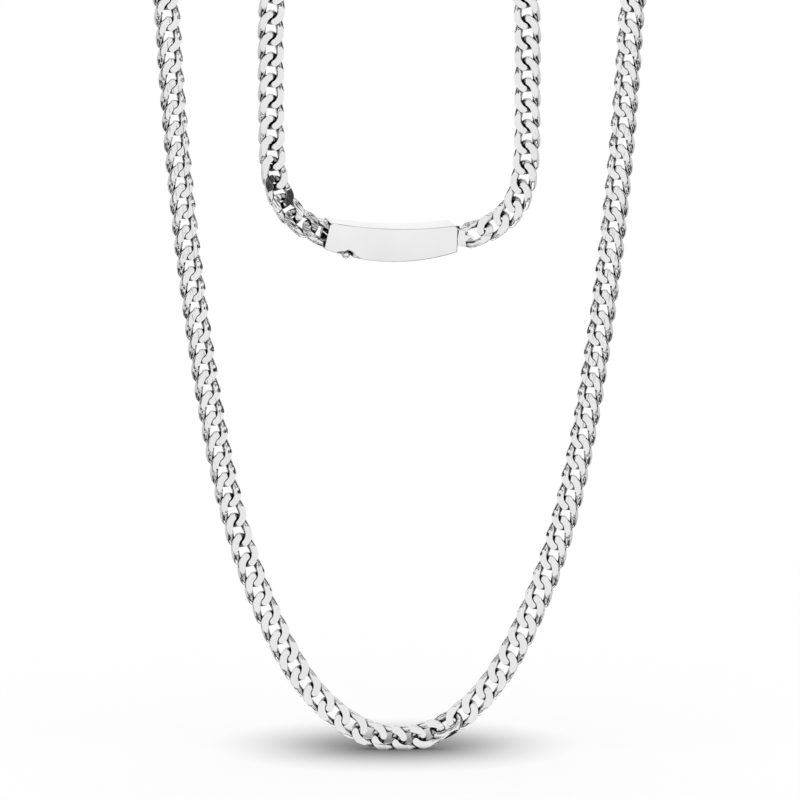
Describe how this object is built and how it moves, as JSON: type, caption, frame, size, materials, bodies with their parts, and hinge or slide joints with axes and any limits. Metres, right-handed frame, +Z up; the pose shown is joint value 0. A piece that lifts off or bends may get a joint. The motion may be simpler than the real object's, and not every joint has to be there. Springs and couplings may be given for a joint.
{
  "type": "curb chain necklace",
  "caption": "Closed necklace of flat-cut curb links with a curved box clasp, hanging doubled: a long drop in front and a short drop with the clasp inside it.",
  "frame": {"origin": "midway between the two places where the chain hangs over its support, level with the top of that support", "axes": "+X to the viewer's right along the line between the two hanging places, +Y away from the viewer, +Z up"},
  "size_m": [0.1184, 0.0176, 0.2094],
  "materials": {
    "chain": "polished silver-tone metal",
    "clasp": "polished silver-tone metal"
  },
  "bodies": {
    "necklace": {"chain_left": "chain", "chain_right": "chain", "clasp_box": "clasp", "clasp_tongue": "clasp"},
    "release": {"release_ball": "clasp"}
  },
  "joints": [
    {"name": "release_press", "type": "slide", "parent": "necklace", "child": "release", "axis": [0.1244, -0.1023, 0.9869], "range_m": [0, 0.0007], "stiffness_N_per_m": 200}
  ]
}
